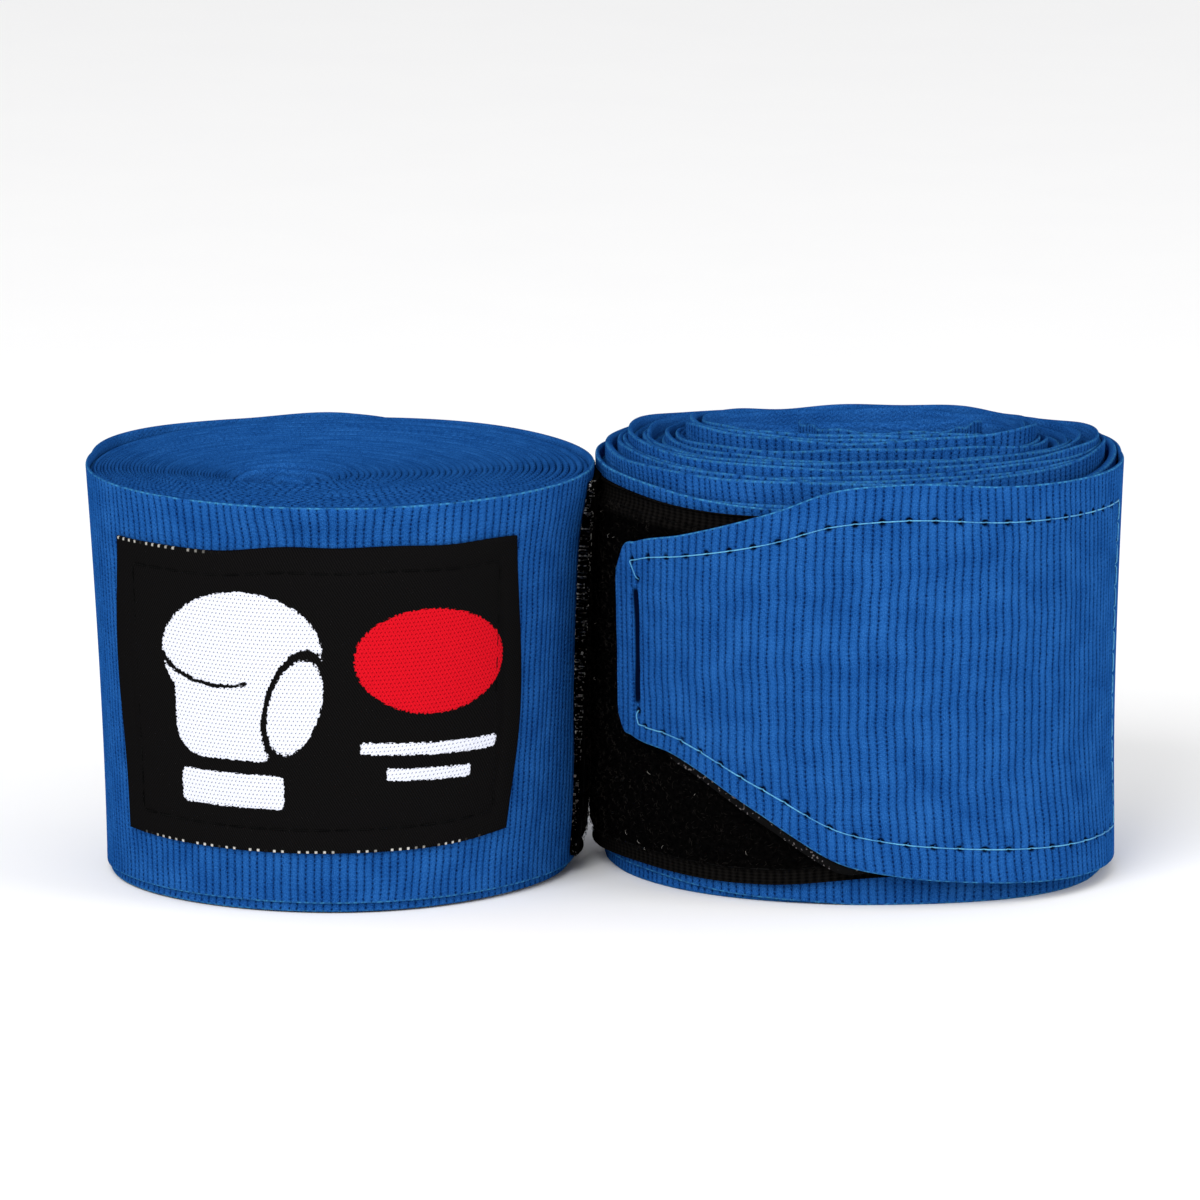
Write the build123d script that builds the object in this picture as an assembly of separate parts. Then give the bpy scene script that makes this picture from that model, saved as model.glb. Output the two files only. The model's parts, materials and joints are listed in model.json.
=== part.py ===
from build123d import *
from dataclasses import dataclass
from math import cos, radians, sin
import os

# A pair of boxing hand wraps, each rolled up from its thumb loop end and closed with its hook and loop tab.
# They stand side by side on their rolled edges. Millimetres, +Z up.
#
# A wrap is drawn about its own upright axis. A winding angle counts degrees round the roll from the front, -Y,
# clockwise as seen from above, and keeps growing turn after turn. The cloth is wound from the core outwards,
# so a larger winding angle lies nearer the tab. "Lift" is a distance outwards from the cloth's outer face.

# Woven strip
STRIP_WIDTH = 50.0
CLOTH = 0.5                    # thickness of the cloth
CORE_RADIUS = 3.4              # inner face of the first turn, round the rolled thumb loop
ROOT_BEARING = 270.0           # where the wound strip ends and the closing tab starts

# Thumb loop: a narrow band folded double and rolled into the core
THUMB_BAND = 22.0
THUMB_CLOTH = 0.7
THUMB_GAP = 0.5                # between the two layers of the flattened loop
THUMB_ARC = (10.0, 205.0)      # winding angles of the folded loop in the core
THUMB_SEAM_ANGLES = (30.0, 60.0)

# Patches sewn to the outside of the last turn. Spans are degrees of winding after the tab's root.
LABEL_SPAN = (-146.0, -41.5)
LABEL_HEIGHT = 38.0
LABEL_THICKNESS = 0.6
LOOP_SPAN = (-282.0, -176.0)
LOOP_HEIGHT = 46.0
LOOP_THICKNESS = 1.3
SEWN_GAP = 0.05                # between a patch and the cloth that it is sewn to

# Closing tab: the strip's tapered end, with a hook panel sewn inside it
TAB_SPAN = 147.0
TAB_BASE = 1.5                 # its lower edge above the floor
TAB_RISE_SPAN = 72.0           # it climbs over the loop panel's thickness within these degrees
PEEL_GAP = 0.35                # clear space between the tab and what it closes on
HOOK_SPAN = (15.0, 141.0)
HOOK_THICKNESS = 0.9
HOOK_INSET = 3.5               # from the tab's outline to the hook panel's
TIP_X = -29.5                  # across the front, from the roll's axis to the tip
TIP_LOW, TIP_HIGH = 17.5, 42.0
TAPER_LOW_X, TAPER_HIGH_X = 4.0, -3.0

# Seams
THREAD = 0.5                   # width of a line of stitching
THREAD_PROUD = 0.15            # what of it stands above the cloth
SEAM_INSET = 3.0               # from a patch's edge to its stitching
TAB_SEAM_INSET = 5.0

BODY_GAP = 0.3                 # between the two rolls where their loop panels face each other
RIGHT_SETBACK = 6.0            # the right roll stands this much further back
LEFT_TURNED = 171.0            # the left roll is turned this far anticlockwise from the right one


@dataclass
class Roll:
    name: str
    pitch: float               # growth of the radius with each turn
    flat: float                # straight run between the half turns, which makes the roll oval
    turns: int                 # whole turns before the last part turn

    @property
    def end(self):
        return 360 * self.turns + ROOT_BEARING


LEFT = Roll("left", pitch=0.62, flat=0.0, turns=42)
RIGHT = Roll("right", pitch=0.665, flat=4.0, turns=39)


def half_turn(roll, half):
    """Centre and outer radius of one half turn. Even halves go round the left side, odd ones round the right."""
    odd = half % 2
    centre = Vector(roll.flat / 2 if odd else -roll.flat / 2, -roll.pitch / 2 if odd else 0)
    return centre, CORE_RADIUS + CLOTH + roll.pitch / 2 * half


def on_roll(roll, winding, lift, half=None):
    """The point at this winding angle and lift, on the roll's cross section."""
    centre, radius = half_turn(roll, int(winding // 180) if half is None else half)
    outward = Vector(-sin(radians(winding)), -cos(radians(winding)))
    return centre + outward * (radius + lift)


def wound_path(roll, start, stop, lift):
    """Arcs and straight runs that follow the cloth from one winding angle to another."""
    edges = []
    first, last = int(start // 180), int(stop // 180)
    for half in range(first, last + 1):
        begin = max(start, 180 * half)
        finish = min(stop, 180 * (half + 1))
        centre, radius = half_turn(roll, half)
        if finish > begin:
            edges.append(CenterArc(centre, radius + lift, -90 - begin, begin - finish))
        if half < last and roll.flat:
            corner = 180 * (half + 1)
            edges.append(Line(on_roll(roll, corner, lift, half), on_roll(roll, corner, lift, half + 1)))
    return edges


def wound_band(roll, start, stop, low, high):
    """Cross section of something that follows the cloth between two lifts."""
    inner = wound_path(roll, start, stop, low)
    outer = wound_path(roll, start, stop, high)
    caps = [Line(on_roll(roll, angle, low), on_roll(roll, angle, high)) for angle in (start, stop)]
    return make_face(inner + outer + caps)


def tab_lift(degrees):
    """Lift of the tab's inner face at this many degrees from its root, relative to one more turn of cloth."""
    share = min(degrees / TAB_RISE_SPAN, 1)
    root = PEEL_GAP - CLOTH
    full = LOOP_THICKNESS + SEWN_GAP + PEEL_GAP + HOOK_THICKNESS + SEWN_GAP - CLOTH
    return root + (full - root) * sin(radians(90 * share))


def tab_band(roll, start, stop, low, high):
    """Cross section of something that follows the tab, between two heights above the tab's inner face."""
    steps = 18
    angles = [start + (stop - start) * i / steps for i in range(steps + 1)]

    def face_points(height):
        return [on_roll(roll, roll.end + a, tab_lift(a) + height) for a in angles]

    inner, outer = face_points(low), face_points(high)
    return make_face([Spline(inner), Spline(outer), Line(inner[0], outer[0]), Line(inner[-1], outer[-1])])


def upright(section, low, high):
    """The cross section, raised from one height to another."""
    return extrude(Pos(0, 0, low) * section, high - low, dir=(0, 0, 1))


def tab_outline(inset):
    """The tab's tapered shape as seen from the front, drawn in by inset, as a long prism along Y."""
    low, high = TAB_BASE, TAB_BASE + STRIP_WIDTH
    past_root, past_tip = 60, -60
    corners = [
        (past_root, low), (TAPER_LOW_X, low), (TIP_X, TIP_LOW), (past_tip, TIP_LOW),
        (past_tip, TIP_HIGH), (TIP_X, TIP_HIGH), (TAPER_HIGH_X, high), (past_root, high),
    ]
    outline = make_face(Polyline(corners, close=True))
    if inset:
        outline = offset(outline, -inset, kind=Kind.INTERSECTION)
    depth = 60
    return Pos(0, 5, 0) * extrude(Plane.XZ * outline, depth)


def tab_layer(roll, span, heights, inset):
    """One layer of the tab: span in degrees from the root, heights above the tab's inner face."""
    block = upright(tab_band(roll, *span, *heights), 0, STRIP_WIDTH + 2 * TAB_BASE)
    return block & tab_outline(inset)


def patch(roll, span, height, low, high, inset=0.0):
    """A rectangular patch on the last turn, centred on the cloth's width."""
    radius = half_turn(roll, 2 * roll.turns)[1]
    turn_in = inset / radius / radians(1)
    start, stop = roll.end + span[0] + turn_in, roll.end + span[1] - turn_in
    bottom = (STRIP_WIDTH - height) / 2 + inset
    return upright(wound_band(roll, start, stop, low, high), bottom, STRIP_WIDTH - bottom)


def patch_seam(roll, span, height, thickness):
    """A line of stitching round a patch, through the patch and the turn of cloth below it."""
    low, high = -CLOTH, SEWN_GAP + thickness + THREAD_PROUD
    outside = patch(roll, span, height, low, high, SEAM_INSET)
    inside = patch(roll, span, height, low, high, SEAM_INSET + THREAD)
    return outside - inside


def strip(roll):
    return upright(wound_band(roll, 0, roll.end, -CLOTH, 0), 0, STRIP_WIDTH)


def thumb_loop(roll):
    """A closed loop of narrow band, folded flat and curled against the strip's inner end."""
    height = 2 * THUMB_CLOTH + THUMB_GAP
    radius = CORE_RADIUS - SEWN_GAP - height / 2
    centre = half_turn(roll, 0)[0]
    line = CenterArc(centre, radius, -90 - THUMB_ARC[0], THUMB_ARC[0] - THUMB_ARC[1])
    section = SlotArc(line, height) - SlotArc(line, THUMB_GAP)
    low = (STRIP_WIDTH - THUMB_BAND) / 2
    return upright(section, low, low + THUMB_BAND)


def thumb_loop_stitching(roll):
    """Two upright rows of stitching through the strip's inner end and the loop's outer layer."""
    depth = CLOTH + SEWN_GAP + THUMB_CLOTH
    low = (STRIP_WIDTH - THUMB_BAND) / 2 + 1
    rows = []
    for angle in THUMB_SEAM_ANGLES:
        width = THREAD / CORE_RADIUS / radians(1)
        section = wound_band(roll, angle, angle + width, -depth, 0)
        rows.append(upright(section, low, STRIP_WIDTH - low))
    return Compound(children=[row.solid() for row in rows])


def loop_fastener(roll):
    return patch(roll, LOOP_SPAN, LOOP_HEIGHT, SEWN_GAP, SEWN_GAP + LOOP_THICKNESS)


def loop_fastener_stitching(roll):
    return patch_seam(roll, LOOP_SPAN, LOOP_HEIGHT, LOOP_THICKNESS)


def label(roll):
    return patch(roll, LABEL_SPAN, LABEL_HEIGHT, SEWN_GAP, SEWN_GAP + LABEL_THICKNESS)


def label_stitching(roll):
    return patch_seam(roll, LABEL_SPAN, LABEL_HEIGHT, LABEL_THICKNESS)


def closure_tab(roll):
    root_slit = PEEL_GAP / half_turn(roll, 2 * roll.turns)[1] / radians(1)
    return tab_layer(roll, (root_slit, TAB_SPAN), (0, CLOTH), 0)


def hook_fastener(roll):
    return tab_layer(roll, HOOK_SPAN, (-SEWN_GAP - HOOK_THICKNESS, -SEWN_GAP), HOOK_INSET)


def tab_stitching(roll):
    """A line of stitching through the tab and the hook panel behind it."""
    radius = half_turn(roll, 2 * roll.turns)[1]
    turn_in = (TAB_SEAM_INSET - HOOK_INSET) / radius / radians(1)
    width = THREAD / radius / radians(1)
    low, high = -SEWN_GAP - HOOK_THICKNESS / 2, CLOTH + THREAD_PROUD
    start, stop = HOOK_SPAN[0] + turn_in, HOOK_SPAN[1] - turn_in
    outside = tab_layer(roll, (start, stop), (low, high), TAB_SEAM_INSET)
    inside = tab_layer(roll, (start + width, stop - width), (low - 1, high + 1), TAB_SEAM_INSET + THREAD)
    return outside - inside


PIECES = {
    "strip": strip,
    "thumb_loop": thumb_loop,
    "thumb_loop_stitching": thumb_loop_stitching,
    "loop_fastener": loop_fastener,
    "loop_fastener_stitching": loop_fastener_stitching,
    "label": label,
    "label_stitching": label_stitching,
    "closure_tab": closure_tab,
    "hook_fastener": hook_fastener,
    "tab_stitching": tab_stitching,
}


def strip_length(roll):
    """Length of cloth in the winding."""
    middle = wound_path(roll, 0, roll.end, -CLOTH / 2)
    return sum(edge.length for edge in middle)


def places():
    """Where each roll stands before the pair is centred: side by side, loop panel to loop panel."""
    panel = SEWN_GAP + LOOP_THICKNESS
    left_reach = half_turn(LEFT, 2 * LEFT.turns)[1] + panel
    right_reach = half_turn(RIGHT, 2 * RIGHT.turns)[1] + RIGHT.flat / 2 + panel
    apart = left_reach + right_reach + BODY_GAP
    return {"left": Pos(0, 0, 0) * Rot(0, 0, LEFT_TURNED), "right": Pos(apart, RIGHT_SETBACK, 0)}


def main():
    os.makedirs("parts", exist_ok=True)
    spots = places()
    pieces = {
        f"{roll.name}_{name}": spots[roll.name] * make(roll)
        for roll in (LEFT, RIGHT)
        for name, make in PIECES.items()
    }
    box = Compound(children=[copy for shape in pieces.values() for copy in shape.solids()]).bounding_box()
    centring = Pos(-(box.min.X + box.max.X) / 2, -(box.min.Y + box.max.Y) / 2, -box.min.Z)
    for name, shape in pieces.items():
        export_step(centring * shape, f"parts/{name}.step")
    print("size", box.size)
    for roll in (LEFT, RIGHT):
        spot = centring * spots[roll.name]
        hinge = spot * Pos(on_roll(roll, roll.end, 0))
        foot = spot * Pos(on_roll(roll, 360 * roll.turns - 90, -CLOTH / 2))
        print(roll.name, "roll axis", spot.position)
        print(roll.name, "tab hinge", hinge.position)
        print(roll.name, "point on the cloth's lower edge", foot.position)
        print(roll.name, "cloth in the winding", round(strip_length(roll)), "mm")


main()
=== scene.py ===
import json
import math
from dataclasses import dataclass

import bpy
import numpy as np
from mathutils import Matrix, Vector


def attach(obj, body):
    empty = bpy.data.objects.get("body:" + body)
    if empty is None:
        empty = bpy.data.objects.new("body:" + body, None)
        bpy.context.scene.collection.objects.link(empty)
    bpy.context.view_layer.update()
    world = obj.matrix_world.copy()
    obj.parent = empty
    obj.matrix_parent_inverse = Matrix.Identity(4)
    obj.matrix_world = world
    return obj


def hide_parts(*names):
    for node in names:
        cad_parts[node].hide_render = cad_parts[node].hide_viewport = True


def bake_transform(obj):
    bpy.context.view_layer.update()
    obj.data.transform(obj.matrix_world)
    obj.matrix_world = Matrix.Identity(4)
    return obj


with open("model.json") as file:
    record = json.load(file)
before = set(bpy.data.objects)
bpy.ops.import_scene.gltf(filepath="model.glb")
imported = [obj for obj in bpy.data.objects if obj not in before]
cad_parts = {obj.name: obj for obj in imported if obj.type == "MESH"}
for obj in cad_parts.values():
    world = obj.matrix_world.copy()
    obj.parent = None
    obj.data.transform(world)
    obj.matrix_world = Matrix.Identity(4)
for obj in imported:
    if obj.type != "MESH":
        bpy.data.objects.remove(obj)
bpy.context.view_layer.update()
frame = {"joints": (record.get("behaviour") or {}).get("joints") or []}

# A pair of rolled hand wraps. The shapes are worked out in millimetres round each roll's own upright axis,
# and Roll.place() sets them in the row frame, in metres. A winding angle counts degrees round the roll from
# its own front, clockwise seen from above, and grows turn after turn towards the closing tab. "Lift" is a
# distance out from the cloth's outer face. A bearing is the same angle in the row frame: 0 is the front, 90
# the left side.

MM = 0.001

# The strip, as in the CAD part
STRIP_WIDTH = 50.0
CORE_RADIUS = 3.9  # outer face of the first turn that the CAD part has
OUTSIDE = 30.0  # radius of the last turn, near enough
ROOT = 270.0  # winding angle, within its turn, where the closing tab starts
LABEL_SPAN = (-146.0, -41.5)  # degrees after the root
LOOP_SPAN = (-282.0, -176.0)
LOOP_HEIGHT = 46.0
HOOK_SPAN = (15.0, 141.0)
HOOK_INSET = 3.5
HOOK_PEEP = 1.2  # how far the hook panel shows under the tab
THUMB_BAND = 22.0  # width of the thumb loop's band
SEWN_GAP = 0.05  # between a sewn-on patch and the cloth

# Looks of the cloth
RIB = 1.08  # width of one rib
GROOVE = 0.15  # depth between two ribs
CLOTH = 0.95  # most thickness, where the winding leaves it room
THINNEST = 0.3
TAB_CLOTH = 0.58
HIGHEST = math.radians(12)  # bearing where a tilted turn stands highest
CLOTH_CLEARANCE = 0.03  # between one turn and the next
SEAM_INSET = 3.0
TAB_SEAM_INSET = 4.6
TAB_SEAM_NARROWS = 2.2  # the seam comes this much nearer the tab's edges towards its tip
BEAD = 0.56  # height of one stitch of the knit
STITCH = 2.8  # from one needle hole to the next
THREAD_RADIUS = 0.09
HOLE_RADIUS = 0.42  # of a needle hole
SLIT_HALF = 0.5  # half the width of the slit at the tab's tip
PIT_DEPTH = 0.38  # of the needle holes, the slit and the creases in the core

# Closing tab
TAB_SPAN = 147.5
TAB_FULL_LIFT = 2.65
TAB_RISE_SPAN = 72.0
TIP_SEAM = 141.0  # degrees after the root where the seam crosses the tab's tip
SLIT_HEIGHTS = (22.8, 38.8)  # the seam is open between these
TAPER_CUT = 525.0  # square millimetres of cloth cut away for the tab's taper
BEND_REACH = 3.0  # a reach on each side of the tab's hinge, in mm
# Lower and upper edge: (degrees after the root, height above the floor)
TAB_LOW = (
    (0, 0.8), (30, 1.8), (50, 2.3), (70, 3.2), (84, 4.2), (94, 5.6), (110, 11.4), (130, 17.9), (143, 19.3),
    (146, 20.0), (147.5, 21.8),
)
TAB_HIGH = (
    (0, 51.3), (30, 51.8), (60, 52.5), (84, 53.5), (96, 52.7), (108, 49.8), (128, 45.9), (141, 44.0),
    (145, 43.0), (147.5, 40.0),
)


def ramp(x, low, high):
    """Smooth step from 0 at low to 1 at high."""
    share = np.clip((x - low) / (high - low), 0, 1)
    return share * share * (3 - 2 * share)


def smooth_line(points, at):
    """A smooth curve through (x, y) points, read at any x."""
    x, y = (np.array(c, float) for c in zip(*points))
    slope = np.gradient(y, x)
    at = np.clip(at, x[0], x[-1])
    i = np.clip(np.searchsorted(x, at, side="right") - 1, 0, len(x) - 2)
    run = x[i + 1] - x[i]
    t = (at - x[i]) / run
    start = (2 * t**3 - 3 * t**2 + 1) * y[i] + (t**3 - 2 * t**2 + t) * run * slope[i]
    return start + (3 * t**2 - 2 * t**3) * y[i + 1] + (t**3 - t**2) * run * slope[i + 1]


def bell(x, centre, width):
    return np.exp(-(((x - centre) / width) ** 2))


def turned_bell(bearing, centre, width):
    """A bell round the roll, in degrees."""
    off = (bearing - centre + 180) % 360 - 180
    return np.exp(-((off / width) ** 2))


# ---- the rolls

@dataclass
class Roll:
    """The shape of one wound wrap."""
    side: str
    turned: float  # winding angle that faces the row's front
    pitch: float  # from one turn to the next
    turns: int
    flat: float  # straight stretch that makes the last turn oval
    core_flat: float  # the same at the core
    core_shift: tuple  # how far the core lies from the roll's axis, in x and y
    crescents: tuple  # (turn, gap) of each crescent gap
    rises: tuple  # (turn, height of its lower edge)
    tilts: tuple  # (turn, how much higher it stands at its highest bearing)
    flare: tuple  # (share of the radius at the floor, power, gain towards the top)
    dents: tuple  # (bearing, height, its reach in degrees, its reach in height, depth) of each dent
    core_turns: float = 3.9  # turns inside the CAD part's first one
    ripple: float = 1.0  # how wavy the turns' edges are
    swell: float = 0.0  # how much higher the turns stand at the roll's two sides
    flop: float = 0.0  # how much the tops of the inner turns lean in and out
    tab_drop: float = 0.0  # how much lower the tab closes
    all_rims: float = 0.0  # how pale the inner turns' selvedges are, next to the last turn's; lower is painted shade between the turns

    def __post_init__(self):
        self.end = 360 * self.turns + ROOT
        joint = next(j for j in frame["joints"] if j["name"] == f"{self.side}_tab_peel")
        self.hinge = np.array(joint["pos_m"]) / MM
        reach = CORE_RADIUS + self.pitch / 2 * (2 * self.turns + 1)
        self.axis = self.hinge[:2] - self.spin(np.array([self.flat / 2 + reach, -self.pitch / 2]))

    def spin(self, xy):
        """Turns points about the roll's axis into the row frame."""
        a = math.radians(self.turned)
        x, y = xy[..., 0], xy[..., 1]
        return np.stack([x * math.cos(a) - y * math.sin(a), x * math.sin(a) + y * math.cos(a)], -1)

    def bearing(self, winding):
        return (winding - self.turned) % 360

    def share(self, winding):
        """0 at the core, 1 at the last turn."""
        return np.clip(winding / self.end, 0, 1)

    def radius(self, winding):
        """Radius of the cloth's outer face. A loose bundle opens a crescent gap opposite its start."""
        turn = winding / 360
        radius = CORE_RADIUS + self.pitch * (winding - 90) / 360
        for start, gap in self.crescents:
            opening = gap * (0.5 - 0.5 * np.cos(2 * np.pi * (turn - start))) ** 1.5
            radius = radius + opening * (ramp(turn, start - 0.1, start + 0.1) - self.share(winding))
        angle = np.radians(winding)
        lumps = 0.22 * np.sin(2 * angle + 0.8) + 0.13 * np.sin(5 * angle + 0.3 * turn)
        crumple = 0.3 * np.exp(-np.maximum(turn + 3.8, 0) / 2.5) * np.sin(3 * angle + 1.5 * turn)
        return radius + lumps * self.share(winding) + crumple

    def rise(self, winding):
        """Height of the strip's lower edge above the floor."""
        turn = winding / 360
        angle = np.radians(self.bearing(winding))
        rise = smooth_line(self.rises, turn) + smooth_line(self.tilts, turn) * np.cos(angle - HIGHEST)
        rise = rise - self.swell * np.cos(2 * angle) * self.share(winding)
        ripple = 0.10 * np.sin(5.3 * turn + 2.2 * np.sin(angle)) + 0.07 * np.sin(3 * angle + 1.7 * turn)
        ripple = ripple + 0.05 * np.sin(8 * angle + 2.9 * turn)
        return np.maximum(rise + self.ripple * ripple * (1 - 0.5 * self.share(winding)), 0)

    def edges(self, winding):
        """Heights of the cloth's lower and upper edge."""
        after = winding - self.end
        low = self.rise(winding)
        turn = winding / 360
        high = low + STRIP_WIDTH + 0.25 * self.ripple * np.sin(1.9 * turn)
        high = high - ramp(turn, 0.8, -1.0) * (1.5 + 0.9 * np.sin(np.radians(winding) * 1.7))
        blend = ramp(after, -40, 0)
        tab_low, tab_high = self.tab_edges(after)
        return low * (1 - blend) + blend * tab_low, high * (1 - blend) + blend * tab_high

    def tab_edges(self, after):
        """Heights of the closing tab's lower and upper edge."""
        drop = self.tab_drop * ramp(after, 0, 100)
        return smooth_line(TAB_LOW, after) - drop, smooth_line(TAB_HIGH, after) - drop

    def shift(self, winding):
        """How far the turn at this winding angle sits from the roll's axis."""
        return np.array(self.core_shift) * ((1 - self.share(winding)) ** 1.3)[..., None]

    def room(self, winding):
        """How thick the cloth may be without touching the turn inside it."""
        angle = np.radians(winding)
        outward = self.spin(np.stack([-np.sin(angle), -np.cos(angle)], -1))
        nearer = ((self.shift(winding - 360) - self.shift(winding)) * outward).sum(-1)
        return (self.radius(winding) - self.radius(winding - 360)) * self.flare[0] - nearer - CLOTH_CLEARANCE

    def widening(self, height):
        """How much wider the flared roll is at this height than at the floor."""
        low, power, gain = self.flare
        return 1 + gain / low * np.clip(height / 50, 0, 1.1) ** power

    def tab_lift(self, winding):
        return TAB_FULL_LIFT * np.sin(np.radians(90 * np.clip((winding - self.end) / TAB_RISE_SPAN, 0, 1)))

    def place(self, winding, height, lift):
        """Points of the row frame in metres: winding in degrees, height and lift in millimetres."""
        winding, height, lift = np.broadcast_arrays(winding, height, lift)
        share = self.share(winding)
        angle = np.radians(winding)
        radius = (self.radius(winding) + self.tab_lift(winding)) * self.flare[0] * self.widening(height)
        for centre, z, width, tall, depth in self.dents:
            near = turned_bell(self.bearing(winding), centre, width) * bell(height, z, tall)
            radius = radius - depth * near * ramp(share, 0.7, 0.97)
        flop = self.flop * ramp(height, 38, 53) * (1 - share**4)
        radius = radius + lift + flop * np.sin(3 * angle + 0.16 * winding / 360 + 1.0)
        across = -np.sin(angle)
        half = self.half_flat(winding)
        x = across * radius + half * across * (1.5 - 0.5 * across**2)
        y = -np.cos(angle) * radius - self.pitch / 4
        point = self.spin(np.stack([x, y], -1))
        point = point + self.axis + self.shift(winding)
        return np.concatenate([point, height[..., None]], -1) * MM

    def half_flat(self, winding):
        """Half the straight stretch that makes this turn oval."""
        return (self.flat + (self.core_flat - self.flat) * (1 - self.share(winding))) / 2

    def run(self, start, stop):
        """Winding angles with the length of cloth up to each."""
        winding = np.linspace(start, stop, int((stop - start) * 2) + 2)
        reach = self.radius(winding) + self.tab_lift(winding) + self.half_flat(winding) * 2 / np.pi
        steps = np.radians(np.diff(winding)) * (reach[1:] + reach[:-1]) / 2
        return winding, np.concatenate([[0], np.cumsum(steps)])


# The tightly wound roll is slightly dished, and its last turn stands proud.
LEFT = Roll(
    "left", turned=171.0, pitch=0.62, turns=42, flat=0.0, core_flat=2.4, core_shift=(-5.6, -4.6),
    crescents=((-1.78, 2.4), (11.9, 0.3), (20.1, 0.25), (28.6, 0.15), (34.4, 0.2), (38.9, 0.2)),
    rises=(
        (-4, -0.4), (2, 0.0), (15, 0.25), (30, 0.5), (39, 0.6), (41.2, 0.45), (41.6, 0.15), (42.1, 1.1),
        (43.2, 1.2),
    ),
    tilts=((-4, -0.9), (2, -0.8), (6, -0.5), (14, 0), (40, 0), (43.2, 0)),
    flare=(0.9605, 1.5, 0.0757),
    dents=(
        (2, 46.6, 24, 2.4, 1.5), (285, 51, 45, 6, -0.9), (150, 30, 30, 12, 0.4), (270, 20, 32, 20, -0.5),
        (270, 9, 32, 12, -0.8),
    ),
    core_turns=3.2, ripple=0.25, tab_drop=3.0,
)
# The loosely wound roll has telescoped: its inner bundles stand higher, most of all at the front.
RIGHT = Roll(
    "right", turned=0.0, pitch=0.665, turns=39, flat=4.0, core_flat=13.0, core_shift=(4.0, 0.6),
    crescents=(
        (3.4, 1.0), (8.6, 0.8), (14.76, 1.3), (24.3, 1.1), (28.8, 1.0), (32.25, 1.3), (36.8, 0.9),
        (37.3, 1.2),
    ),
    rises=(
        (-4, 1.3), (3.2, 1.9), (3.7, 1.0), (8.3, 1.5), (9.0, 2.0), (14.5, 1.8), (15.1, 2.6), (24.0, 2.8),
        (24.7, 2.5), (31.9, 2.6), (32.7, 2.3), (36.6, 2.1), (37.3, 1.1), (38.0, 0.1), (38.9, 0.1),
        (39.03, 0.9), (39.15, 1.2), (39.35, 1.0), (39.8, 0.8), (40.2, 0.8),
    ),
    tilts=(
        (-4, 0.2), (8, 0.3), (15, 1.2), (24, 1.5), (31, 1.3), (33, 1.2), (36.5, 1.1), (37.5, 0.1), (40.2, 0),
    ),
    flare=(0.993, 2.0, 0.035),
    dents=(
        (20, 44, 30, 8, 0.3), (200, 25, 40, 14, 0.5), (317, 2, 26, 12, -2.0), (90, 26, 30, 18, -0.45),
        (90, 9, 30, 12, -0.6),
    ),
    ripple=3.6, swell=0.5, flop=1.0, all_rims=0.55,
)
ROLLS = (LEFT, RIGHT)


# ---- mesh helpers

def new_mesh(name, points, faces):
    mesh = bpy.data.meshes.new(name)
    mesh.from_pydata(points.tolist(), [], faces)
    mesh.polygons.foreach_set("use_smooth", np.full(len(mesh.polygons), True))
    mesh.update()
    piece = bpy.data.objects.new(name, mesh)
    bpy.context.scene.collection.objects.link(piece)
    return piece


def set_numbers(piece, name, values):
    """Stores one number, or one vector, for each vertex."""
    values = np.asarray(values, np.float32)
    kind, field = ("FLOAT", "value") if values.ndim == 1 else ("FLOAT_VECTOR", "vector")
    piece.data.attributes.new(name, kind, "POINT").data.foreach_set(field, values.ravel())


def ring_piece(name, rings, closed=False):
    """A tube from an array (columns, points round its section, 3), capped unless it closes on itself."""
    columns, around = rings.shape[:2]
    spans = columns if closed else columns - 1
    column, here = np.meshgrid(np.arange(spans), np.arange(around), indexing="ij")
    first, second = column * around, (column + 1) % columns * around
    beside = (here + 1) % around
    corners = (first + here, second + here, second + beside, first + beside)
    faces = np.stack(corners, -1).reshape(-1, 4).tolist()
    if not closed:
        last = (columns - 1) * around
        faces.append(list(range(around)))
        faces.append([last + i for i in reversed(range(around))])
    return new_mesh(name, rings.reshape(-1, 3), faces)


def threads_piece(name, paths, outward, radius, sides=6, taper=None):
    """Round threads in one mesh, from arrays (threads, points, 3). taper scales the radius along each."""
    count, length = paths.shape[:2]
    along = np.gradient(paths, axis=1)
    along /= np.linalg.norm(along, axis=2, keepdims=True) + 1e-12
    up = outward - (outward * along).sum(2, keepdims=True) * along
    up /= np.linalg.norm(up, axis=2, keepdims=True) + 1e-12
    side = np.cross(along, up)
    angles = np.arange(sides) * 2 * np.pi / sides
    size = radius * (np.ones(length) if taper is None else np.asarray(taper))
    ring = np.cos(angles)[:, None] * up[:, :, None] + np.sin(angles)[:, None] * side[:, :, None]
    points = paths[:, :, None] + ring * size[None, :, None, None]
    counts = (np.arange(count), np.arange(length - 1), np.arange(sides))
    thread, step, point = np.meshgrid(*counts, indexing="ij")
    base = (thread * length + step) * sides
    here, beside = base + point, base + (point + 1) % sides
    faces = np.stack([here, beside, beside + sides, here + sides], -1).reshape(-1, 4).tolist()
    for t in range(count):
        first, last = t * length * sides, ((t + 1) * length - 1) * sides
        faces.append([first + i for i in reversed(range(sides))])
        faces.append([last + i for i in range(sides)])
    return new_mesh(name, points.reshape(-1, 3), faces)


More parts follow.
